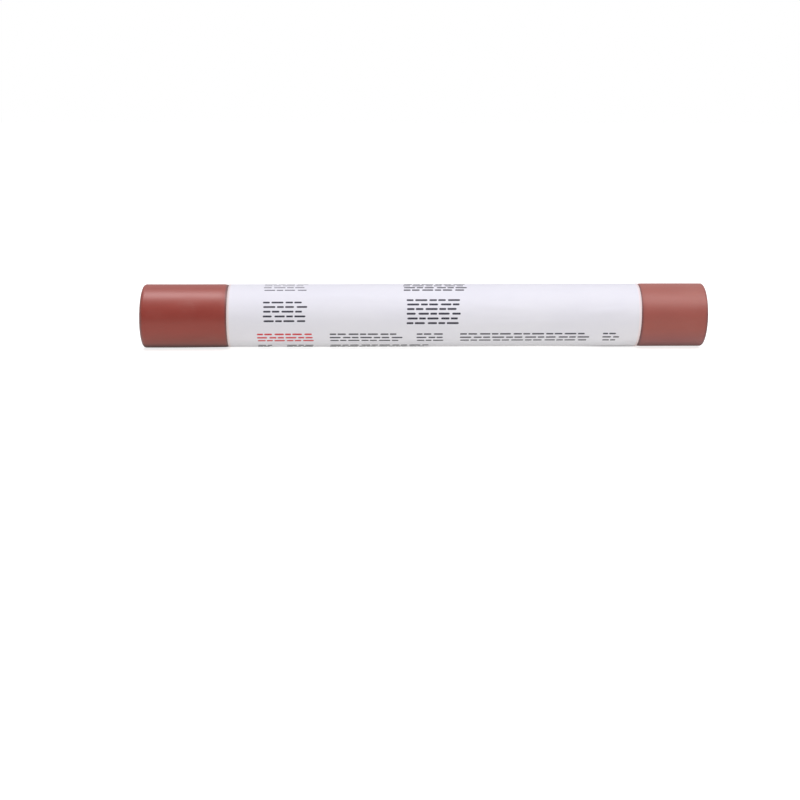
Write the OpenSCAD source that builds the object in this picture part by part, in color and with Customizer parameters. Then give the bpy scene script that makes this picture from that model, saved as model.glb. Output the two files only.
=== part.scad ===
// Furniture repair wax stick: a cast round stick of coloured hard wax with a
// self-adhesive paper label wrapped once round its middle and lapped on itself.
// The stick lies on its side along X, with the moulded end at -X and the poured
// end at +X. The origin is on the table under the middle of the stick, +Z is up,
// and the label's lap faces the back, +Y.

/* [Wax stick] */
// Diameter of the wax stick
wax_d = 12; // [9:0.5:20]
// Length of the wax stick from end to end
wax_len = 110; // [100:1:160]

/* [Moulded end] */
// Radius that rounds the shoulder into the side of the stick
mould_rim_r = 0.7; // [0.4:0.1:1.2]
// Radius of the shoulder that falls away from the flat land
shoulder_r = 5; // [4:0.5:12]
// Width of the shoulder, from the land to the centre of the rim's rounding
shoulder_w = 1.6; // [0.5:0.1:2.4]

/* [Poured end] */
// Radius of the rim where the surplus wax was struck off
pour_rim_r = 0.4; // [0.2:0.1:1.2]
// Width of the flat ring between that rim and the dish
pour_ring_w = 1.8; // [1:0.1:2.4]
// Depth of the dish that the wax leaves as it cools and shrinks
dish_depth = 0.6; // [0.1:0.05:0.8]

/* [Label] */
// Length of the label along the stick
label_len = 80; // [40:1:90]
// Bare wax between the moulded end and the label
bare_len = 17; // [8:1:27]
// Thickness of the face paper
paper_t = 0.08; // [0.06:0.01:0.2]
// Thickness of the adhesive under the paper
glue_t = 0.02; // [0.02:0.005:0.05]
// Length of paper that laps over the label's own first edge
lap_len = 1.9; // [1:0.1:5]

/* [Hidden] */
$fn = 128;

wax_r = wax_d / 2;
label_t = glue_t + paper_t;

// The label stands proud of the wax, so the stick rests on it
axis_h = wax_r + label_t;

// Moulded end: flat land, shoulder arc and rim arc, each tangent to the next
land_r = wax_r - mould_rim_r - shoulder_w;
mould_rim_h = shoulder_r - sqrt(pow(shoulder_r - mould_rim_r, 2) - pow(shoulder_w, 2));
shoulder_turn = asin(shoulder_w / (shoulder_r - mould_rim_r));

// Poured end: flat ring round a dish that is a shallow cap of a sphere
dish_r = wax_r - pour_rim_r - pour_ring_w;
dish_sphere_r = (pow(dish_r, 2) + pow(dish_depth, 2)) / (2 * dish_depth);

// Where the label climbs over its own first edge it leaves the wax on a tangent,
// runs straight to the top of that edge and bends on to its second turn
step_r = wax_r + label_t;
climb_turn = acos(wax_r / step_r);
lap_turn = lap_len / step_r * 180 / PI;
// The lap is centred on the back of the stick
climb_start = -climb_turn - lap_turn / 2;

paper_mid = glue_t + paper_t / 2;
label_cut_w = ((wax_r + paper_mid) * (360 - climb_turn)
    + (step_r + paper_mid) * lap_turn) * PI / 180 + step_r * sin(climb_turn);
echo(label_cut_size = [label_len, label_cut_w]);

// Stands a shape made along +Z along the stick instead, its start at the moulded end
module along_stick() {
    translate([-wax_len / 2, 0, axis_h])
        rotate([90, 0, 90])
            children();
}

// Pie slice under a shoulder arc, from the land's edge to the rim's tangent point
module shoulder_slice() {
    intersection() {
        circle(shoulder_r);
        polygon([
            [0, 0],
            [0, -2 * shoulder_r],
            [2 * shoulder_r * tan(shoulder_turn), -2 * shoulder_r]
        ]);
    }
}

// Half outline of the stick: radius along X, length along Y from the moulded end
module stick_outline() {
    difference() {
        union() {
            square([land_r, wax_len]);
            translate([land_r, shoulder_r])
                shoulder_slice();
            translate([wax_r - mould_rim_r, mould_rim_h])
                circle(mould_rim_r);
            translate([0, mould_rim_h])
                square([wax_r, wax_len - mould_rim_h - pour_rim_r]);
            translate([wax_r - pour_rim_r, wax_len - pour_rim_r])
                circle(pour_rim_r);
            translate([0, shoulder_r])
                square([wax_r - pour_rim_r, wax_len - shoulder_r]);
        }
        translate([0, wax_len - dish_depth + dish_sphere_r])
            circle(dish_sphere_r);
    }
}

// Sector from the +X axis, counterclockwise, that reaches past the whole label
module sector(turn) {
    far = 2 * step_r;
    polygon([[0, 0], [far, 0], [far, far * tan(turn)]]);
}

// Cross-section inside one face of the label on its second turn: round, but flat
// at the side where the label climbs. lift is the face's height above the wax.
module second_turn_outline(lift) {
    difference() {
        circle(step_r + lift);
        translate([wax_r + lift, -step_r - lift])
            square([step_r, 2 * (step_r + lift)]);
    }
}

// One layer of the wrapped label: lift is its height above the label's underside
module wrapped_layer(lift, thick) {
    translate([0, 0, bare_len])
        linear_extrude(label_len)
            rotate(climb_start) {
                difference() {
                    circle(wax_r + lift + thick);
                    circle(wax_r + lift);
                    sector(climb_turn);
                }
                intersection() {
                    difference() {
                        second_turn_outline(lift + thick);
                        second_turn_outline(lift);
                    }
                    sector(climb_turn + lap_turn);
                }
            }
}

module wax_stick() {
    color([0.59, 0.31, 0.28])
        along_stick()
            rotate_extrude()
                stick_outline();
}

module label_adhesive() {
    color([0.86, 0.83, 0.74])
        along_stick()
            wrapped_layer(0, glue_t);
}

module label_paper() {
    color([0.93, 0.93, 0.96])
        along_stick()
            wrapped_layer(glue_t, paper_t);
}

wax_stick();
label_adhesive();
label_paper();
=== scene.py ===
"""Furniture repair wax stick: a cast stick of red-brown wax in a lapped white paper label. It lies along
X, from its moulded end to its poured end, with the print of its label at the front."""

import math

import bmesh
import bpy
from mathutils import Matrix, Vector


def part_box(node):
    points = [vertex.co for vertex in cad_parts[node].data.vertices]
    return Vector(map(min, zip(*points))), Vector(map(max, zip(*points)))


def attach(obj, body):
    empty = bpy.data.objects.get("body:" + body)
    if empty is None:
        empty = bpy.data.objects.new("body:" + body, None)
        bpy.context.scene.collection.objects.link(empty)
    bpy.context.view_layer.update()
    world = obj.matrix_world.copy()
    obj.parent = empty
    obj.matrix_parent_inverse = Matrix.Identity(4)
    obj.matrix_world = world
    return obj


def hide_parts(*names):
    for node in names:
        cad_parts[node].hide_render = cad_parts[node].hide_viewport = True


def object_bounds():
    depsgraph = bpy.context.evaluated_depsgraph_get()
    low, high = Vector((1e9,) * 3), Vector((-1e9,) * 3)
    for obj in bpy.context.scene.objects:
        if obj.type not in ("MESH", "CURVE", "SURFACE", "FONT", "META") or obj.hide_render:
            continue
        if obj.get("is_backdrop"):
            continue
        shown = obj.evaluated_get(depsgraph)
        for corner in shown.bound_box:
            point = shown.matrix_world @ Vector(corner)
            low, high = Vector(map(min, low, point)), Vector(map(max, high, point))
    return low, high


MM = 0.001

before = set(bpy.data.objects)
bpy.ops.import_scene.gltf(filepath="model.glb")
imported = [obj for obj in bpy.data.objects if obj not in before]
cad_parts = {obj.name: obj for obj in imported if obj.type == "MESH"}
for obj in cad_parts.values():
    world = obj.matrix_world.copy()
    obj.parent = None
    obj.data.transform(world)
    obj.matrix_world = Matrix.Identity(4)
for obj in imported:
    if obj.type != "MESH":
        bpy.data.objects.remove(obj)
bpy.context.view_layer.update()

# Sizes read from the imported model
stick_low, stick_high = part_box("wax_stick")
paper_low, paper_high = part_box("label_paper")
WAX_RADIUS = (stick_high.z - stick_low.z) / 2
AXIS_HEIGHT = (stick_high.z + stick_low.z) / 2
MOULD_END = stick_low.x
POUR_END = stick_high.x
LABEL_START = paper_low.x
LABEL_END = paper_high.x
LABEL_LENGTH = LABEL_END - LABEL_START

# Angles about the stick run from the back, where the label laps, over the top to the front and on to
# the underside
BACK, TOP, UNDERSIDE = 0.0, math.pi / 2, 1.5 * math.pi

# Moulded end: a flat land, a shoulder arc and a rounded rim, each tangent to the next
MOULD_RIM = 0.7 * MM
SHOULDER_RADIUS = 5.0 * MM
SHOULDER_WIDTH = 1.6 * MM
LAND_RADIUS = WAX_RADIUS - MOULD_RIM - SHOULDER_WIDTH
SHOULDER_TURN = math.asin(SHOULDER_WIDTH / (SHOULDER_RADIUS - MOULD_RIM))
MOULD_RIM_DEPTH = SHOULDER_RADIUS - math.sqrt((SHOULDER_RADIUS - MOULD_RIM) ** 2 - SHOULDER_WIDTH**2)

# Poured end: a struck rim, a flat ring and the dish where the wax shrank
POUR_RIM = 0.4 * MM
POUR_RING = 1.8 * MM
DISH_DEPTH = 0.6 * MM
DISH_RADIUS = WAX_RADIUS - POUR_RIM - POUR_RING

# Label stock, and the length of paper that laps over the first edge
PAPER_THICKNESS = 0.08 * MM
ADHESIVE_THICKNESS = 0.02 * MM
LAP_LENGTH = 1.9 * MM
# How far the adhesive oozes beyond the paper's cut ends
ADHESIVE_OOZE = 0.05 * MM
# The wrap goes round the wax, climbs on a tangent over the label's first edge and bends on for the lap.
# Bending leaves the middle of the paper as long as it was cut.
PAPER_MIDDLE = ADHESIVE_THICKNESS + PAPER_THICKNESS / 2
LAP_RADIUS = WAX_RADIUS + ADHESIVE_THICKNESS + PAPER_THICKNESS
LAP_TURN = LAP_LENGTH / LAP_RADIUS
CLIMB_TURN = math.acos(WAX_RADIUS / LAP_RADIUS)
FIRST_EDGE = BACK - LAP_TURN / 2
FIRST_LENGTH = (WAX_RADIUS + PAPER_MIDDLE) * (2 * math.pi - CLIMB_TURN)
CLIMB_LENGTH = LAP_RADIUS * math.sin(CLIMB_TURN)
# Width of the cut label, round the stick, with its lap
LABEL_WIDTH = FIRST_LENGTH + CLIMB_LENGTH + (LAP_RADIUS + PAPER_MIDDLE) * LAP_TURN


def srgb(red, green, blue):
    """A colour given as it looks, 0 to 255 a channel, as the linear values that shaders take."""

    def linear(channel):
        share = channel / 255
        return share / 12.92 if share <= 0.04045 else ((share + 0.055) / 1.055) ** 2.4

    return (linear(red), linear(green), linear(blue), 1.0)


# Shape helpers


def bump_at(value, centre, width):
    """1 at the centre, falling smoothly to 0 at width on either side."""
    away = min(1.0, abs(value - centre) / width)
    return (1 - away * away) ** 2


def turn_between(angle, other):
    """How far two angles lie apart, 0 to pi."""
    return abs((angle - other + math.pi) % (2 * math.pi) - math.pi)


def around_stick(x, angle, radius):
    """The point at this place along the stick, this angle about its axis and this radius."""
    return Vector((x, radius * math.cos(angle), AXIS_HEIGHT + radius * math.sin(angle)))


def finished_piece(name, mesh, cad_node):
    """Turns a bmesh into a smooth piece that rides on the stick and stands for a CAD node."""
    mesh.normal_update()
    data = bpy.data.meshes.new(name)
    mesh.to_mesh(data)
    mesh.free()
    data.shade_smooth()
    piece = bpy.data.objects.new(name, data)
    bpy.context.scene.collection.objects.link(piece)
    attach(piece, "root")
    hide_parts(cad_node)
    return piece


# The cast stick. The length given for a wave, a ripple, a ring or a furrow is that of one radian of it.


def casting_swell(x, angle):
    """How far the cast side stands off a true cylinder: slow waves, a fuller heel under the moulded end,
    a casting a little over its nominal size, and more of that where no label holds the wax."""
    fullness, bare_fullness, bare_rise = 0.05 * MM, 0.12 * MM, 0.5 * MM
    heel_height, heel_middle, heel_reach, heel_turn = 0.04 * MM, MOULD_END + 6 * MM, 12 * MM, 1.2
    # Each slow wave: height, length along the stick, count round it, start
    slow_waves = ((0.009 * MM, 9 * MM, 2, 0.0), (0.007 * MM, 4.3 * MM, -3, 1.1))
    waves = 0.0
    for height, length, count, start in slow_waves:
        waves += height * math.sin(x / length + count * angle + start)
    heel = heel_height * bump_at(x, heel_middle, heel_reach)
    heel *= bump_at(turn_between(angle, UNDERSIDE), 0, heel_turn)
    beyond_label = max(LABEL_START - x, x - LABEL_END)
    bare = bare_fullness * min(1.0, max(0.0, beyond_label / bare_rise))
    return fullness + waves + heel + bare


def end_lean(x, angle, radius):
    """Shift along the stick that makes an end lean, its top nearer the poured end than its foot."""
    mould_lean, pour_lean, reach = 0.14 * MM, 0.04 * MM, 8 * MM
    lean = mould_lean * bump_at(x, MOULD_END, reach) + pour_lean * bump_at(x, POUR_END, reach)
    return lean * math.sin(angle) * radius / WAX_RADIUS


def mould_profile():
    """Points (depth, radius) from the centre of the moulded end to the side, with depth below the end."""
    steps_land, steps_shoulder, steps_rim = 30, 12, 9
    points = [(0.0, LAND_RADIUS * k / steps_land) for k in range(1, steps_land + 1)]
    for k in range(1, steps_shoulder + 1):
        a = SHOULDER_TURN * k / steps_shoulder
        points.append((SHOULDER_RADIUS * (1 - math.cos(a)), LAND_RADIUS + SHOULDER_RADIUS * math.sin(a)))
    for k in range(1, steps_rim + 1):
        a = SHOULDER_TURN + (math.pi / 2 - SHOULDER_TURN) * k / steps_rim
        radius = WAX_RADIUS - MOULD_RIM + MOULD_RIM * math.sin(a)
        points.append((MOULD_RIM_DEPTH - MOULD_RIM * math.cos(a), radius))
    return points


def pour_profile(rim):
    """Points (depth, radius) from the side to the centre of the poured end, with depth below the end."""
    steps_rim, steps_ring, steps_dish = 9, 12, 32
    ring_edge = WAX_RADIUS - rim
    points = []
    for k in range(steps_rim + 1):
        a = math.pi / 2 * k / steps_rim
        points.append((rim * (1 - math.sin(a)), ring_edge + rim * math.cos(a)))
    for k in range(1, steps_ring + 1):
        points.append((0.0, ring_edge + (DISH_RADIUS - ring_edge) * k / steps_ring))
    for k in range(1, steps_dish):
        share = 1 - k / steps_dish
        points.append((DISH_DEPTH * (1 - share * share), DISH_RADIUS * share))
    return points


def rim_radius(angle):
    """Radius of the poured end's rim at this angle: it is worn rounder where the stick has been rubbed."""
    rubbed_side, rubbed_reach, wear = TOP + 0.35, 1.5, 0.1 * MM
    plain_share, uneven_share = 0.8, 0.08
    rubbed = bump_at(turn_between(angle, rubbed_side), 0, rubbed_reach)
    return POUR_RIM * (plain_share + uneven_share * math.sin(3 * angle)) + wear * rubbed


def poured_relief(angle, radius):
    """How far the poured end's face lies below its plain dish and ring: ripples that froze round the last
    liquid wax, the pit where it drained, and furrows from the blade that struck the ring off."""
    pit_y, pit_z, pit_depth, pit_radius = 0.5 * MM, 0.4 * MM, 0.28 * MM, 0.75 * MM
    ripple_height, ripple_length = 0.022 * MM, 0.2 * MM
    warp_height, warp_start = 0.03 * MM, 0.6
    furrow_height, furrow_length, furrow_slant = 0.012 * MM, 0.13 * MM, 0.35
    y, z = radius * math.cos(angle), radius * math.sin(angle)
    from_pit = math.hypot(y - pit_y, z - pit_z)
    in_dish = bump_at(radius, 0, DISH_RADIUS)
    ripples = ripple_height * math.sin(from_pit / ripple_length) * in_dish
    warp = warp_height * math.sin(2 * angle + warp_start) * in_dish * radius / DISH_RADIUS
    pit = pit_depth * bump_at(from_pit, 0, pit_radius)
    on_ring = bump_at(radius, DISH_RADIUS + POUR_RING / 2, POUR_RING / 2)
    furrows = furrow_height * (1 + math.sin((z + furrow_slant * y) / furrow_length)) * on_ring
    return ripples + warp + pit + furrows


def moulded_relief(angle, radius):
    """How far the moulded end's face lies below its plain land: the print of the mould's turned floor and
    of the point at its centre."""
    ring_height, ring_length, ring_wander = 0.008 * MM, 0.14 * MM, 0.3
    point_depth, point_radius = 0.05 * MM, 0.6 * MM
    on_land = 1 - bump_at(radius, WAX_RADIUS, WAX_RADIUS - LAND_RADIUS)
    rings = ring_height * (1 + math.sin(radius / ring_length + ring_wander * math.sin(angle))) * on_land
    return rings + point_depth * bump_at(radius, 0, point_radius)


def build_wax_stick():
    """The cast stick as one closed skin of lines along it, from the moulded end to the poured end."""
    line_count, step_length = 168, 0.7 * MM
    step_count = round((POUR_END - MOULD_END) / step_length)
    # Over the end faces the side's unevenness fades out within this much of the radius
    swell_fade = 2.5 * MM
    moulded_end = mould_profile()
    mesh = bmesh.new()
    lines = []
    for k in range(line_count):
        angle = 2 * math.pi * k / line_count
        poured_end = pour_profile(rim_radius(angle))
        start = [
            (MOULD_END + depth + moulded_relief(angle, radius), radius) for depth, radius in moulded_end
        ]
        end = [
            (POUR_END - depth - poured_relief(angle, radius), radius) for depth, radius in poured_end
        ]
        first, last = start[-1][0], end[0][0]
        side = [(first + (last - first) * j / step_count, WAX_RADIUS) for j in range(1, step_count)]
        line = []
        for x, radius in start + side + end:
            swell = casting_swell(x, angle) * bump_at(min(radius, WAX_RADIUS), WAX_RADIUS, swell_fade)
            line.append(mesh.verts.new(around_stick(x + end_lean(x, angle, radius), angle, radius + swell)))
        lines.append(line)
    moulded_centre = mesh.verts.new(around_stick(MOULD_END + moulded_relief(0, 0), 0, 0))
    poured_centre = mesh.verts.new(around_stick(POUR_END - DISH_DEPTH - poured_relief(0, 0), 0, 0))
    for k in range(line_count):
        here, there = lines[k], lines[(k + 1) % line_count]
        mesh.faces.new((moulded_centre, there[0], here[0]))
        for j in range(len(here) - 1):
            mesh.faces.new((here[j], there[j], there[j + 1], here[j + 1]))
        mesh.faces.new((here[-1], there[-1], poured_centre))
    return finished_piece("wax_stick_cast", mesh, "wax_stick")


# The wrapped label

# It was wound on a little out of square: its shift along the stick per length round it
LABEL_SKEW = 0.0113
# Faint wrinkles of the paper: millimetres along the label and round it to the wrinkle's middle,
# its slant, half its length and its height
WRINKLES = (
    (25, 15.6, 0.03, 14, 0.062),
    (55, 20.9, -0.04, 18, 0.070),
    (12, 21.0, 0.05, 9, 0.055),
    (66, 14.6, 0.06, 10, 0.062),
    (73, 18.6, -0.10, 6, 0.070),
    (53, 17.6, 0.04, 8, 0.055),
    (38, 31.0, 0.03, 18, 0.062),
    (58, 6.5, -0.05, 14, 0.062),
)
WRINKLE_SPREAD = 1.1 * MM


def label_path(run, lift):
    """Angle and radius of the label's face at lift above the wax, where run is the length along the cut
    sheet from its first edge."""
    if run <= FIRST_LENGTH:
        return FIRST_EDGE + run / (WAX_RADIUS + PAPER_MIDDLE), WAX_RADIUS + lift
    climbed = run - FIRST_LENGTH
    if climbed <= CLIMB_LENGTH:
        flat = WAX_RADIUS + lift
        return FIRST_EDGE - CLIMB_TURN + math.atan2(climbed, flat), math.hypot(flat, climbed)
    return FIRST_EDGE + (climbed - CLIMB_LENGTH) / (LAP_RADIUS + PAPER_MIDDLE), LAP_RADIUS + lift


def paper_ease(x, run):
    """How far the paper stands off its glue: faint wrinkles along the stick, a corner that has come free
    at the end of the lap, and a slack stretch under the stick near the poured end."""
    corner_lift, corner_length, corner_width = 0.09 * MM, 5 * MM, 1.6 * MM
    slack_lift, slack_length, slack_width = 0.1 * MM, 16 * MM, 6 * MM
    slack_x, slack_run = LABEL_END - 3 * MM, 28 * MM
    ease = 0.0
    for along, round_it, slant, half_length, height in WRINKLES:
        from_middle = x - LABEL_START - along * MM
        crest = round_it * MM + slant * from_middle
        wrinkle = bump_at(from_middle, 0, half_length * MM) * bump_at(run, crest, WRINKLE_SPREAD)
        ease += height * MM * wrinkle
    corner = bump_at(x, LABEL_END, corner_length) * bump_at(run, LABEL_WIDTH, corner_width)
    slack = bump_at(x, slack_x, slack_length) * bump_at(run, slack_run, slack_width)
    return ease + corner_lift * corner + slack_lift * slack


def cut_stray(run, start):
    """How far a cut end of the label strays along the stick at this length round it."""
    stray, length_of_radian = 0.03 * MM, 3.1 * MM
    return stray * math.sin(run / length_of_radian + start)


def wrapped_sheet(name, cad_node, lift, thickness, beyond_cut=0.0, eased=False):
    """A layer of the label: a flat grid laid along the wrap, given its thickness and its flat-sheet map.
    It can reach beyond the cut ends, and it can ease off its glue as paper does."""
    steps_along, steps_round = 200, 230
    # The two cut ends stray in different places
    stray_starts = {0: 5, steps_along: 2}
    mesh = bmesh.new()
    flat = mesh.loops.layers.uv.new("flat_sheet")
    grid = []
    for i in range(steps_along + 1):
        row = []
        for j in range(steps_round + 1):
            run = LABEL_WIDTH * j / steps_round
            x = LABEL_START - beyond_cut + (LABEL_LENGTH + 2 * beyond_cut) * i / steps_along
            x += LABEL_SKEW * (LABEL_WIDTH / 2 - run)
            angle, radius = label_path(run, lift + thickness)
            radius += casting_swell(x, angle)
            if eased:
                radius += paper_ease(x, run)
            if i in stray_starts:
                x += cut_stray(run, stray_starts[i])
            row.append(mesh.verts.new(around_stick(x, angle, radius)))
        grid.append(row)
    corners = ((0, 0), (0, 1), (1, 1), (1, 0))
    for i in range(steps_along):
        for j in range(steps_round):
            face = mesh.faces.new([grid[i + di][j + dj] for di, dj in corners])
            for loop, (di, dj) in zip(face.loops, corners):
                loop[flat].uv = ((i + di) / steps_along, (j + dj) / steps_round)
    piece = finished_piece(name, mesh, cad_node)
    solid = piece.modifiers.new("thickness", "SOLIDIFY")
    solid.thickness = thickness
    solid.offset = -1.0
    return piece


# Shader helpers


def new_material(name):
    """A material with an empty node tree, and that tree."""
    material = bpy.data.materials.new(name)
    material.use_nodes = True
    material.node_tree.nodes.clear()
    return material, material.node_tree


def feed(tree, socket, value):
    """Links an output to an input socket, or sets the socket to a plain value."""
    if isinstance(value, bpy.types.NodeSocket):
        tree.links.new(value, socket)
    else:
        socket.default_value = value


def node(tree, kind, inputs=(), **settings):
    """Adds a node, sets its properties and feeds its inputs, which are given by name or number."""
    made = tree.nodes.new(kind)
    for key, value in settings.items():
        setattr(made, key, value)
    for key, value in dict(inputs).items():
        feed(tree, made.inputs[key], value)
    return made


def object_place(tree):
    """The shaded point in the object's own space."""
    return node(tree, "ShaderNodeTexCoord").outputs["Object"]


def axes_of(tree, vector):
    """The X, Y and Z of a vector."""
    return node(tree, "ShaderNodeSeparateXYZ", {0: vector}).outputs


def math_node(tree, operation, *values):
    """The result of one arithmetic step on values or sockets."""
    return node(tree, "ShaderNodeMath", enumerate(values), operation=operation).outputs[0]


def times(tree, first, second):
    """The product of two values."""
    return math_node(tree, "MULTIPLY", first, second)


def minus(tree, first, second):
    """The first value less the second."""
    return math_node(tree, "SUBTRACT", first, second)


def higher(tree, first, second):
    """The higher of two values."""
    return math_node(tree, "MAXIMUM", first, second)


def held(tree, value, highest):
    """A value held between 0 and a highest value."""
    return math_node(tree, "MINIMUM", higher(tree, value, 0.0), highest)


def summed(tree, base, *terms):
    """A base value with terms added to it, each a value and the share of it that counts."""
    for value, share in terms:
        base = math_node(tree, "MULTIPLY_ADD", value, share, base)
    return base


def vector_math(tree, operation, *values):
    """The result of one step on vectors: a number from a length or a dot product, and else a vector."""
    made = node(tree, "ShaderNodeVectorMath", enumerate(values), operation=operation)
    return made.outputs["Value" if operation in ("LENGTH", "DOT_PRODUCT") else "Vector"]


def mixed_value(tree, share, first, second):
    """Two values mixed by a share of the second."""
    return node(tree, "ShaderNodeMix", {0: share, 2: first, 3: second}).outputs[0]


def mixed_colour(tree, share, first, second):
    """Two colours mixed by a share of the second."""
    return node(tree, "ShaderNodeMix", {0: share, 6: first, 7: second}, data_type="RGBA").outputs[2]


def ramp(tree, factor, low, high):
    """A factor stretched so that low becomes 0 and high becomes 1, smoothly."""
    values = {"Value": factor, "From Min": low, "From Max": high}
    return node(tree, "ShaderNodeMapRange", values, interpolation_type="SMOOTHSTEP").outputs[0]


def noise(tree, place, scale, detail, output="Fac", **shape):
    """Cloudy noise at a place: a value about 0.5, or a colour of three such values."""
    values = {"Vector": place, "Scale": scale, "Detail": detail, **shape}
    return node(tree, "ShaderNodeTexNoise", values).outputs[output]


def new_group(name, inputs, outputs):
    """A shader node group with named sockets: inputs as (name, kind, default), outputs as (name, kind)."""
    group = bpy.data.node_groups.new(name, "ShaderNodeTree")
    for label, kind, default in inputs:
        socket = group.interface.new_socket(name=label, in_out="INPUT", socket_type=kind)
        if default is not None:
            socket.default_value = default
    for label, kind in outputs:
        group.interface.new_socket(name=label, in_out="OUTPUT", socket_type=kind)
    return group, group.nodes.new("NodeGroupInput").outputs, group.nodes.new("NodeGroupOutput").inputs


def placed(tree, group, **inputs):
    """The outputs of a node group placed in a tree. Inputs go by name, with underscores for spaces."""
    made = tree.nodes.new("ShaderNodeGroup")
    made.node_tree = group
    for key, value in inputs.items():
        feed(tree, made.inputs[key.replace("_", " ")], value)
    return made.outputs


# Effects that the materials share

FLOAT, COLOUR, VECTOR = "NodeSocketFloat", "NodeSocketColor", "NodeSocketVector"
UNSTRETCHED = (1.0, 1.0, 1.0)


def cloudy_tint_group():
    """Slow cloudy change between two colours, for pigment in wax and for the tone of paper."""
    group, given, out = new_group(
        "cloudy_tint",
        (
            ("Place", VECTOR, None),
            ("Scale", FLOAT, 200.0),
            ("Stretch", VECTOR, UNSTRETCHED),
            ("Deep", COLOUR, (0.2, 0.2, 0.2, 1.0)),
            ("Pale", COLOUR, (0.8, 0.8, 0.8, 1.0)),
        ),
        (("Colour", COLOUR), ("Cloud", FLOAT)),
    )
    deep_below, pale_above = 0.3, 0.7
    place = vector_math(group, "MULTIPLY", given["Place"], given["Stretch"])
    cloud = noise(group, place, given["Scale"], 5.0, Roughness=0.62, Distortion=0.4)
    cloud = ramp(group, cloud, deep_below, pale_above)
    feed(group, out["Colour"], mixed_colour(group, cloud, given["Deep"], given["Pale"]))
    feed(group, out["Cloud"], cloud)
    return group


def fine_grain_group():
    """Height of a fine grain over a broader unevenness, for the cast wax and the paper's face."""
    group, given, out = new_group(
        "fine_grain",
        (
            ("Place", VECTOR, None),
            ("Stretch", VECTOR, UNSTRETCHED),
            ("Grain Scale", FLOAT, 4000.0),
            ("Uneven Scale", FLOAT, 500.0),
            ("Uneven Share", FLOAT, 0.5),
        ),
        (("Height", FLOAT),),
    )
    place = vector_math(group, "MULTIPLY", given["Place"], given["Stretch"])
    grain = noise(group, place, given["Grain Scale"], 3.0)
    uneven = noise(group, place, given["Uneven Scale"], 2.0)
    feed(group, out["Height"], mixed_value(group, given["Uneven Share"], grain, uneven))
    return group


def handling_marks_group():
    """Sparse fine scuffs from handling, and the rubbed patches that they lie in, as masks from 0 to 1."""
    group, given, out = new_group(
        "handling_marks",
        (
            ("Place", VECTOR, None),
            ("Stretch", VECTOR, UNSTRETCHED),
            ("Scale", FLOAT, 900.0),
            ("Spread", FLOAT, 0.5),
        ),
        (("Scuffs", FLOAT), ("Rubbed", FLOAT)),
    )
    patch_scale, patch_core, scuff_width = 160.0, 0.8, 0.012
    place = vector_math(group, "MULTIPLY", given["Place"], given["Stretch"])
    streak = noise(group, place, given["Scale"], 2.0, Distortion=1.5)
    scuff = ramp(group, math_node(group, "ABSOLUTE", minus(group, streak, 0.5)), scuff_width, 0.0)
    patch = noise(group, given["Place"], patch_scale, 3.0)
    rubbed = ramp(group, patch, minus(group, 1.0, given["Spread"]), patch_core)
    feed(group, out["Scuffs"], times(group, scuff, rubbed))
    feed(group, out["Rubbed"], rubbed)
    return group


def low_down_colour_group():
    """A colour that turns into another low on a thing, by height above the table, and how strong the lower
    colour is.
    """
    group, given, out = new_group(
        "low_down_colour",
        (
            ("Place", VECTOR, None),
            ("Clean", COLOUR, (0.8, 0.8, 0.8, 1.0)),
            ("Dust", COLOUR, (0.2, 0.2, 0.2, 1.0)),
            ("Starts At", FLOAT, 0.004),
            ("Full At", FLOAT, 0.001),
            ("Share", FLOAT, 0.3),
        ),
        (("Colour", COLOUR), ("Thickness", FLOAT)),
    )
    depth = ramp(group, axes_of(group, given["Place"])[2], given["Starts At"], given["Full At"])
    thickness = times(group, depth, given["Share"])
    feed(group, out["Colour"], mixed_colour(group, thickness, given["Clean"], given["Dust"]))
    feed(group, out["Thickness"], thickness)
    return group


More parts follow.
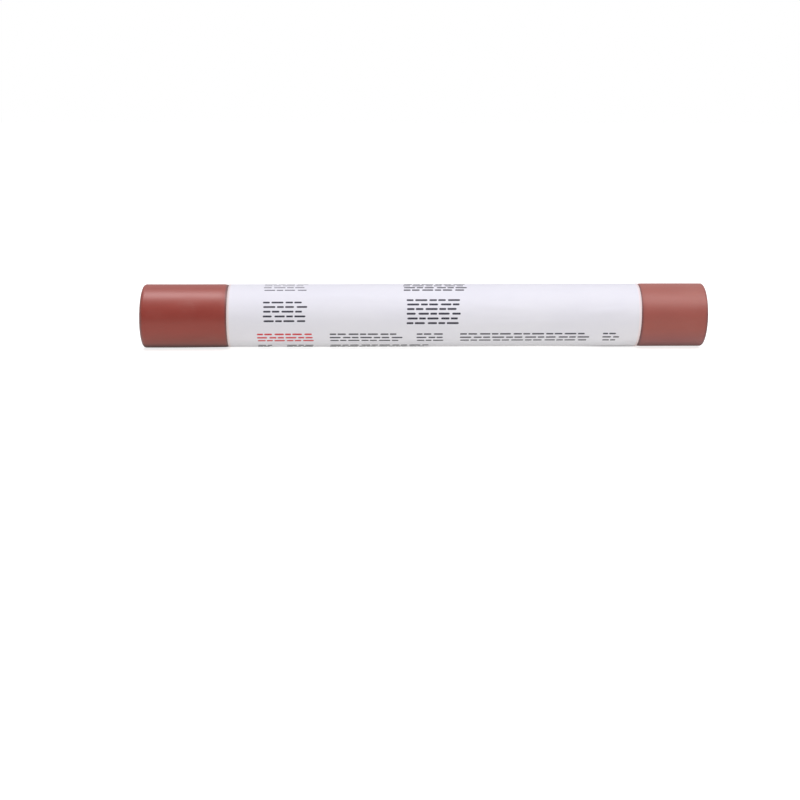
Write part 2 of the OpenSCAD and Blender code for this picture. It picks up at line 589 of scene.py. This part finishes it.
def fine_print_group():
    """Mask of a block of generic fine print, in millimetres on the flat label: level lines of dashes with
    round ends. Each line breaks in its own places, so that no two dashes make a figure together."""
    group, given, out = new_group(
        "fine_print",
        (
            ("Flat Place", VECTOR, None),
            ("Start", FLOAT, 0.0),
            ("Row", FLOAT, 0.0),
            ("Length", FLOAT, 8.0),
            ("Dashes", FLOAT, 4.0),
            ("Lines", FLOAT, 3.0),
            ("Line Pitch", FLOAT, 1.0),
            ("Thickness", FLOAT, 0.3),
            ("Ink Spread", FLOAT, 0.05),
        ),
        (("Mask", FLOAT),),
    )
    # In dashes: how far a line's breaks stray to and fro, and how far a dash reaches from its middle.
    # In radians: how fast they stray along a line, and how much further on each next line starts.
    stray, dash_reach = 0.16, 0.42
    stray_per_dash, stray_per_line = 2.3, 2.4
    flat = axes_of(group, given["Flat Place"])
    half_thickness = times(group, given["Thickness"], 0.5)

    # Distance across from the middle of the nearest line
    last_line = minus(group, given["Lines"], 1.0)
    half_block = times(group, last_line, 0.5)
    line = math_node(group, "DIVIDE", minus(group, flat[1], given["Row"]), given["Line Pitch"])
    line = held(group, math_node(group, "ROUND", math_node(group, "ADD", line, half_block)), last_line)
    level = summed(group, given["Row"], (minus(group, line, half_block), given["Line Pitch"]))
    across = minus(group, flat[1], level)

    # Distance along beyond the straight part of the nearest dash
    dash_pitch = math_node(group, "DIVIDE", given["Length"], given["Dashes"])
    place = math_node(group, "DIVIDE", minus(group, flat[0], given["Start"]), dash_pitch)
    phase = summed(group, given["Row"], (line, stray_per_line))
    wave = math_node(group, "SINE", summed(group, phase, (place, stray_per_dash)))
    place = summed(group, place, (minus(group, wave, math_node(group, "SINE", phase)), stray))
    dash = held(group, math_node(group, "FLOOR", place), minus(group, given["Dashes"], 1.0))
    from_middle = math_node(group, "ABSOLUTE", minus(group, minus(group, place, dash), 0.5))
    straight = minus(group, times(group, dash_pitch, dash_reach), half_thickness)
    along = higher(group, minus(group, times(group, from_middle, dash_pitch), straight), 0.0)

    away = math_node(group, "SQRT", summed(group, times(group, along, along), (across, across)))
    outside = minus(group, away, half_thickness)
    inked = ramp(group, outside, given["Ink Spread"], times(group, given["Ink Spread"], -1.0))
    feed(group, out["Mask"], inked)
    return group


# The wax


def painted_edge_shade(tree, along, height, radius):
    """Mask of painted shade: a dark line along the label's cut ends, partly grime caught there, and a band
    round the rims, darker low down.
    """
    line_starts, line_full = 0.6 * MM, 0.15 * MM
    mould_starts, mould_full = MOULD_END + 1.0 * MM, MOULD_END + 0.2 * MM
    pour_starts, pour_full = POUR_END - 0.7 * MM, POUR_END - 0.1 * MM
    band_starts, band_full = WAX_RADIUS - 1.4 * MM, WAX_RADIUS - 0.4 * MM
    unshaded_above, full_below = 9.5 * MM, 6.0 * MM
    beside_label = times(
        tree,
        ramp(tree, along, LABEL_START - line_starts, LABEL_START - line_full),
        ramp(tree, along, LABEL_END + line_starts, LABEL_END + line_full),
    )
    rims = higher(
        tree,
        ramp(tree, along, mould_starts, mould_full),
        ramp(tree, along, pour_starts, pour_full),
    )
    rims = times(tree, rims, ramp(tree, radius, band_starts, band_full))
    low = ramp(tree, height, unshaded_above, full_below)
    thickness = summed(tree, 0.3, (low, 0.55))
    return higher(tree, beside_label, times(tree, rims, thickness))


def worked_face(tree, place, along, radius):
    """Mask of the poured end's face, and how worked it is: frosted in patches in the dish, and scraped in
    fine lines on the struck ring."""
    frost_starts, frost_full = 0.42, 0.68
    scrape_starts, scrape_full = 0.45, 0.7
    scrape_slant, scrape_fineness = 0.34, 9.0
    face_starts, face_full = POUR_END - 1.1 * MM, POUR_END - 0.8 * MM
    rim_side, face_side = WAX_RADIUS - 0.25 * MM, WAX_RADIUS - 0.6 * MM
    dish_starts, dish_full = DISH_RADIUS + 0.1 * MM, DISH_RADIUS - 0.3 * MM
    face = ramp(tree, along, face_starts, face_full)
    face = times(tree, face, ramp(tree, radius, rim_side, face_side))
    frost = ramp(tree, noise(tree, place, 850.0, 6.0, Roughness=0.65), frost_starts, frost_full)
    lines = {"Vector": place, "Rotation": (scrape_slant, 0, 0), "Scale": (1.0, 1.0, scrape_fineness)}
    lines = node(tree, "ShaderNodeMapping", lines).outputs[0]
    scrape = ramp(tree, noise(tree, lines, 520.0, 3.0), scrape_starts, scrape_full)
    in_dish = ramp(tree, radius, dish_starts, dish_full)
    return face, times(tree, mixed_value(tree, in_dish, scrape, frost), face)


def wax_material(groups):
    """Hard pigmented wax: clouded red-brown with scuffs from handling, a thin bloom towards the poured end,
    painted light that pales its top, painted shade at its edges, a painted floor reflection and a painted
    contact shadow low down, and a frosted and scraped poured face."""
    material, tree = new_material("cast_wax")
    place = object_place(tree)
    along, _, height = axes_of(tree, place)
    off_axis = vector_math(tree, "SUBTRACT", place, (0, 0, AXIS_HEIGHT))
    radius = vector_math(tree, "LENGTH", vector_math(tree, "MULTIPLY", off_axis, (0, 1, 1)))
    tint = placed(
        tree,
        groups["cloudy_tint"],
        Place=place,
        Scale=90.0,
        Stretch=(0.5, 1.0, 1.0),
        Deep=srgb(135, 44, 34),
        Pale=srgb(142, 50, 40),
    )
    marks = placed(
        tree,
        groups["handling_marks"],
        Place=place,
        Stretch=(0.12, 1.0, 1.0),
        Scale=700.0,
        Spread=0.5,
    )
    bloom_starts, bloom_full = LABEL_END - 25 * MM, LABEL_END + 3 * MM
    side_height, top_height = 6.5 * MM, 11.0 * MM
    towards_pour = ramp(tree, along, bloom_starts, bloom_full)
    # Painted light: the pale film is made thicker towards the top of the stick, as if lit from above; the
    # rest of it is bloom towards the poured end and wear from handling
    painted_top_light = ramp(tree, height, side_height, top_height)
    bloom_and_top_light_at_pour = summed(tree, 0.1, (painted_top_light, 0.03))
    bloom_and_top_light = summed(tree, times(tree, towards_pour, bloom_and_top_light_at_pour), (painted_top_light, 0.02))
    bloom_and_top_light = summed(tree, bloom_and_top_light, (marks["Rubbed"], 0.05), (marks["Scuffs"], 0.12))
    colour = mixed_colour(tree, bloom_and_top_light, tint["Colour"], srgb(206, 166, 151))
    # Painted shade: the wax is darkened along the label's cut ends and round its rims
    colour = mixed_colour(tree, painted_edge_shade(tree, along, height, radius), colour, srgb(102, 55, 55))

    # A painted reflection of the floor greys the stick low down, and a painted contact shadow darkens it
    # where it lies on the table
    painted_floor_reflection = placed(
        tree,
        groups["low_down_colour"],
        Place=place,
        Clean=colour,
        Dust=mixed_colour(tree, towards_pour, srgb(108, 82, 71), srgb(114, 92, 99)),
        Starts_At=4.6 * MM,
        Full_At=1.0 * MM,
        Share=0.3,
    )
    # Painted contact shadow: the underside goes near black where it meets the table, less so towards the
    # poured end; it is made rougher there too
    painted_contact_shadow = placed(
        tree,
        groups["low_down_colour"],
        Place=place,
        Clean=painted_floor_reflection["Colour"],
        Dust=srgb(52, 26, 26),
        Starts_At=1.4 * MM,
        Full_At=0.2 * MM,
        Share=summed(tree, 0.9, (towards_pour, -0.45)),
    )

    face, worked = worked_face(tree, place, along, radius)
    pale_face = summed(tree, 0.0, (face, 0.04), (worked, 0.17))
    colour = mixed_colour(tree, pale_face, painted_contact_shadow["Colour"], srgb(222, 178, 170))
    rough = summed(
        tree,
        0.4,
        (tint["Cloud"], 0.03),
        (marks["Rubbed"], 0.08),
        (towards_pour, 0.06),
        (worked, 0.16),
        (painted_contact_shadow["Thickness"], 0.35),
    )
    grain = placed(
        tree,
        groups["fine_grain"],
        Place=place,
        Stretch=(0.25, 1.0, 1.0),
        Grain_Scale=2600.0,
        Uneven_Scale=420.0,
        Uneven_Share=0.6,
    )
    relief = summed(tree, grain["Height"], (marks["Scuffs"], -0.3), (worked, 1.2))
    bump = node(tree, "ShaderNodeBump", {"Strength": 0.25, "Distance": 0.02 * MM, "Height": relief})
    surface = node(
        tree,
        "ShaderNodeBsdfPrincipled",
        {
            "Base Color": colour,
            "Roughness": rough,
            "IOR": 1.45,
            "Specular IOR Level": 0.9,
            "Specular Tint": (1.0, 0.85, 0.76, 1.0),
            "Subsurface Weight": 0.08,
            "Subsurface Radius": (1.0, 0.35, 0.25),
            "Subsurface Scale": 0.25 * MM,
            "Normal": bump.outputs[0],
        },
    )
    node(tree, "ShaderNodeOutputMaterial", {"Surface": surface.outputs[0]})
    return material


# The label

# Its generic print. Each block of it, in millimetres: start along the label, middle of the block round
# it, length, dashes in a line, lines, their pitch and thickness.
DARK_BLOCKS = (
    (6.8, 11.8, 8.2, 4, 5, 0.9, 0.26),
    (33.8, 11.5, 12.2, 6, 6, 0.84, 0.41),
    (6.8, 18.4, 8.2, 4, 5, 0.9, 0.35),
    (34.4, 18.4, 10.4, 5, 6, 0.9, 0.385),
)
RED_BLOCKS = ((5.6, 23.8, 11.0, 6, 3, 0.84, 0.39),)
GREY_BLOCKS = (
    (19.6, 23.8, 13.8, 7, 3, 0.84, 0.35),
    (36.4, 23.8, 5.4, 3, 3, 0.84, 0.35),
    (44.8, 23.8, 25.0, 12, 3, 0.84, 0.35),
    (72.6, 23.8, 3.2, 2, 3, 0.84, 0.35),
    (5.6, 27.4, 3.0, 2, 3, 0.84, 0.5),
    (11.2, 27.4, 5.4, 3, 3, 0.84, 0.5),
    (19.6, 27.4, 19.4, 10, 3, 0.84, 0.5),
)


def printed_mask(tree, fine_print, place, blocks):
    """Mask of all the blocks of fine print that share an ink."""
    mask = None
    for start, row, length, dashes, lines, line_pitch, thickness in blocks:
        block = placed(
            tree,
            fine_print,
            Flat_Place=place,
            Start=start,
            Row=row,
            Length=length,
            Dashes=dashes,
            Lines=lines,
            Line_Pitch=line_pitch,
            Thickness=thickness,
            Ink_Spread=0.04,
        )["Mask"]
        mask = block if mask is None else higher(tree, mask, block)
    return mask


def label_paper_material(groups):
    """White coated label paper: cool face with a soft sheen and a faint grain, a painted highlight along
    its cut ends, generic print, and a greyer tone low under the stick near the poured end, where the label
    is slack. Places on it are in millimetres."""
    material, tree = new_material("label_face_paper")
    length, width = LABEL_LENGTH / MM, LABEL_WIDTH / MM
    sheet = node(tree, "ShaderNodeUVMap", uv_map="flat_sheet").outputs[0]
    flat = vector_math(tree, "MULTIPLY", sheet, (length, width, 1.0))
    along = axes_of(tree, flat)[0]
    tint = placed(
        tree,
        groups["cloudy_tint"],
        Place=flat,
        Scale=0.12,
        Stretch=(0.5, 1.0, 1.0),
        Deep=srgb(222, 221, 224),
        Pale=srgb(226, 225, 227),
    )
    # The label is made greyer low under the stick near the poured end, where it is slack
    greying_starts, greying_full = 69.0, 74.0
    colour = placed(
        tree,
        groups["low_down_colour"],
        Place=object_place(tree),
        Clean=tint["Colour"],
        Dust=srgb(150, 148, 150),
        Starts_At=0.66 * MM,
        Full_At=0.2 * MM,
        Share=times(tree, ramp(tree, along, greying_starts, greying_full), 0.5),
    )["Colour"]
    # Painted highlight: the paper's cut ends are paler and pinker, as where an edge catches the light and
    # the wax glows through
    highlight_starts, highlight_full = 0.52, 0.28
    to_cut = math_node(tree, "MINIMUM", along, minus(tree, length, along))
    painted_edge_highlight = ramp(tree, to_cut, highlight_starts, highlight_full)
    colour = mixed_colour(tree, painted_edge_highlight, colour, srgb(234, 219, 216))

    # The ink's edge is a little ragged, and its cover a little thin in places
    ragged_by, thinnest = 0.06, 0.93
    ragged = noise(tree, flat, 9.0, 2.0, "Color")
    ragged = vector_math(tree, "SUBTRACT", ragged, (0.5, 0.5, 0.5))
    inked_place = vector_math(tree, "MULTIPLY_ADD", ragged, (ragged_by, ragged_by, ragged_by), flat)
    thin = {"Value": noise(tree, flat, 5.0, 4.0), "From Min": 0.3, "From Max": 0.6, "To Min": thinnest}
    cover = node(tree, "ShaderNodeMapRange", thin).outputs[0]
    inks = (
        (DARK_BLOCKS, srgb(42, 40, 52)),
        (RED_BLOCKS, srgb(200, 46, 50)),
        (GREY_BLOCKS, srgb(66, 65, 70)),
    )
    for blocks, ink in inks:
        printed = printed_mask(tree, groups["fine_print"], inked_place, blocks)
        colour = mixed_colour(tree, times(tree, printed, cover), colour, ink)

    grain = placed(
        tree,
        groups["fine_grain"],
        Place=flat,
        Grain_Scale=6.0,
        Uneven_Scale=0.35,
        Uneven_Share=0.6,
    )
    bump = node(tree, "ShaderNodeBump", {"Strength": 0.2, "Distance": 0.03 * MM, "Height": grain["Height"]})
    rough = summed(tree, 0.58, (tint["Cloud"], 0.08))
    surface = node(
        tree,
        "ShaderNodeBsdfPrincipled",
        {"Base Color": colour, "Roughness": rough, "IOR": 1.45, "Normal": bump.outputs[0]},
    )
    node(tree, "ShaderNodeOutputMaterial", {"Surface": surface.outputs[0]})
    return material


def adhesive_material(groups):
    """Clear-drying label adhesive: pale, slightly yellow and glossy, and duller in patches."""
    material, tree = new_material("label_adhesive_film")
    place = object_place(tree)
    tint = placed(
        tree,
        groups["cloudy_tint"],
        Place=place,
        Scale=900.0,
        Deep=srgb(214, 196, 186),
        Pale=srgb(238, 224, 216),
    )
    marks = placed(tree, groups["handling_marks"], Place=place, Scale=1500.0, Spread=0.6)
    rough = summed(tree, 0.25, (marks["Rubbed"], 0.25))
    grain = placed(
        tree,
        groups["fine_grain"],
        Place=place,
        Grain_Scale=5000.0,
        Uneven_Scale=1200.0,
        Uneven_Share=0.5,
    )
    bump = node(tree, "ShaderNodeBump", {"Strength": 0.3, "Distance": 0.01 * MM, "Height": grain["Height"]})
    surface = node(
        tree,
        "ShaderNodeBsdfPrincipled",
        {"Base Color": tint["Colour"], "Roughness": rough, "Normal": bump.outputs[0]},
    )
    node(tree, "ShaderNodeOutputMaterial", {"Surface": surface.outputs[0]})
    return material


# Studio

WHITE = (1.0, 1.0, 1.0, 1.0)
COOL_WHITE = (0.91, 0.9, 1.0)


def is_gloss_ray(tree):
    """1 for a ray that a gloss sends out."""
    return node(tree, "ShaderNodeLightPath").outputs["Is Glossy Ray"]


def eye_gloss_or_clear(tree, gloss_share):
    """1 for rays that come from the camera or a clear surface and a share of it for those from a gloss."""
    path = node(tree, "ShaderNodeLightPath").outputs
    seen = higher(tree, path["Is Camera Ray"], times(tree, path["Is Glossy Ray"], gloss_share))
    return higher(tree, seen, path["Is Transmission Ray"])


def table_material():
    """A white light table, whitest where it meets the backdrop. It lets the stick's shadow show close by,
    and further out in front it falls into the dark side, as a gloss sees it."""
    table_white, front_grey = (0.54, 0.535, 0.505, 1.0), (0.1, 0.1, 0.1, 1.0)
    # Everything gets the table's own glow. The eye gets more, near the stick and at the backdrop, and a
    # gloss gets a share of that.
    own_glow, eye_glow_near, eye_glow_far, gloss_share = 0.42, 0.36, 0.55, 0.3
    shadow_reach, backdrop_starts = 70 * MM, 220 * MM
    front_starts, front_dark = -20 * MM, -75 * MM
    right_starts, right_dark = 110 * MM, -10 * MM
    material, tree = new_material("white_table")
    place = object_place(tree)
    axes = axes_of(tree, place)
    to_backdrop = ramp(tree, vector_math(tree, "LENGTH", place), shadow_reach, backdrop_starts)
    eye_glow = mixed_value(tree, to_backdrop, eye_glow_near, eye_glow_far)
    glow = summed(tree, own_glow, (eye_glow, eye_gloss_or_clear(tree, gloss_share)))
    dark_front = times(
        tree,
        ramp(tree, axes[1], front_starts, front_dark),
        ramp(tree, axes[0], right_starts, right_dark),
    )
    dark_front = times(tree, dark_front, is_gloss_ray(tree))
    glow = times(tree, glow, minus(tree, 1.0, dark_front))
    surface = node(
        tree,
        "ShaderNodeBsdfPrincipled",
        {
            "Base Color": mixed_colour(tree, dark_front, table_white, front_grey),
            "Roughness": 0.9,
            "Specular IOR Level": 0.0,
            "Emission Color": WHITE,
            "Emission Strength": glow,
        },
    )
    node(tree, "ShaderNodeOutputMaterial", {"Surface": surface.outputs[0]})
    return material


def build_floor(height):
    """The wide round table that the stick lies on."""
    radius, sides = 12.0, 96
    mesh = bmesh.new()
    turns = [2 * math.pi * k / sides for k in range(sides)]
    mesh.faces.new([mesh.verts.new((radius * math.cos(a), radius * math.sin(a), height)) for a in turns])
    data = bpy.data.meshes.new("studio_floor")
    mesh.to_mesh(data)
    mesh.free()
    data.materials.append(table_material())
    floor = bpy.data.objects.new("studio_floor", data)
    bpy.context.scene.collection.objects.link(floor)
    floor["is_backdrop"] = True


def build_backdrop():
    """A white studio all round that gives an even light. A gloss sees a dark side in it, behind the
    camera, and walls that are greyer than its ceiling."""
    even_light = 0.315
    dark_side = Vector((-0.3, -0.95, 0.1)).normalized()
    side_edge, side_core, side_shade = 0.6, 0.95, 0.85
    walls_end, walls_full, wall_shade = 0.7, 0.2, 0.4
    world = bpy.data.worlds.new("studio_backdrop")
    bpy.context.scene.world = world
    world.use_nodes = True
    tree = world.node_tree
    tree.nodes.clear()
    direction = node(tree, "ShaderNodeTexCoord").outputs["Generated"]
    facing = vector_math(tree, "DOT_PRODUCT", direction, dark_side)
    rise = axes_of(tree, direction)[2]
    side = times(tree, ramp(tree, facing, side_edge, side_core), side_shade)
    walls = times(tree, ramp(tree, rise, walls_end, walls_full), wall_shade)
    seen = eye_gloss_or_clear(tree, minus(tree, 1.0, higher(tree, side, walls)))
    dull = times(tree, minus(tree, 1.0, is_gloss_ray(tree)), even_light)
    light = node(tree, "ShaderNodeBackground", {"Color": WHITE, "Strength": higher(tree, seen, dull)})
    node(tree, "ShaderNodeOutputWorld", {"Surface": light.outputs[0]})


def softbox(name, place, aim, size, power):
    """A rectangular, slightly cool soft light at a place, aimed at a point."""
    lamp = bpy.data.lights.new(name, "AREA")
    lamp.shape = "RECTANGLE"
    lamp.size, lamp.size_y = size
    lamp.energy = power
    lamp.color = COOL_WHITE
    box = bpy.data.objects.new(name, lamp)
    box.location = place
    box.rotation_euler = (Vector(aim) - Vector(place)).to_track_quat("-Z", "Y").to_euler()
    bpy.context.scene.collection.objects.link(box)
    return box


def light_studio():
    """A box over the moulded end, a broader and dimmer one at the right for the poured end, and a fill
    from the front that no gloss shows."""
    left, right = (-0.046, 0, AXIS_HEIGHT), (0.048, 0, AXIS_HEIGHT)
    softbox("overhead_box", place=(-0.11, -0.02, 0.5), aim=left, size=(0.2, 0.12), power=1.08)
    softbox("right_softbox", place=(0.22, -0.212, 0.43), aim=right, size=(0.3, 0.34), power=1.35)
    fill = softbox("front_fill", place=(0, -0.6, 0.17), aim=left, size=(0.5, 0.3), power=0.57)
    fill.visible_glossy = False


def build_camera():
    """Camera almost square on to the stick and a little above it, at the photograph's framing."""
    distance = 272.5 * MM
    elevation = math.radians(8)
    left_of_middle = -12.88 * MM
    focal_length_px = 1383.8
    photo_width_px = 800
    yaw, pitch, roll = math.radians(1.773), math.radians(-11.499), math.radians(0.113)
    data = bpy.data.cameras.new("product_camera")
    data.sensor_width = 36.0
    data.lens = data.sensor_width * focal_length_px / photo_width_px
    data.clip_start, data.clip_end = 0.01, 20.0
    camera = bpy.data.objects.new("product_camera", data)
    height = AXIS_HEIGHT + distance * math.sin(elevation)
    place = Vector((left_of_middle, -distance * math.cos(elevation), height))
    turn = Matrix.Rotation(-yaw, 4, "Z")
    turn = turn @ Matrix.Rotation(math.pi / 2 + pitch, 4, "X")
    turn = turn @ Matrix.Rotation(roll, 4, "Z")
    camera.matrix_world = Matrix.Translation(place) @ turn
    bpy.context.scene.collection.objects.link(camera)
    bpy.context.scene.camera = camera


def dress_stick():
    """Builds the stick, its adhesive and its label, and gives each its finish."""
    groups = {
        "cloudy_tint": cloudy_tint_group(),
        "fine_grain": fine_grain_group(),
        "handling_marks": handling_marks_group(),
        "low_down_colour": low_down_colour_group(),
        "fine_print": fine_print_group(),
    }
    stick = build_wax_stick()
    film = wrapped_sheet(
        "label_adhesive_film",
        "label_adhesive",
        lift=0.0,
        thickness=ADHESIVE_THICKNESS,
        beyond_cut=ADHESIVE_OOZE,
    )
    paper = wrapped_sheet(
        "label_paper_face",
        "label_paper",
        lift=ADHESIVE_THICKNESS,
        thickness=PAPER_THICKNESS,
        eased=True,
    )
    stick.data.materials.append(wax_material(groups))
    film.data.materials.append(adhesive_material(groups))
    paper.data.materials.append(label_paper_material(groups))


dress_stick()
# The stick rests on the lowest point of its fuller, slightly wavy underside
build_floor(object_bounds()[0].z)
build_backdrop()
light_studio()
build_camera()

bpy.context.scene.view_settings.view_transform = "Standard"
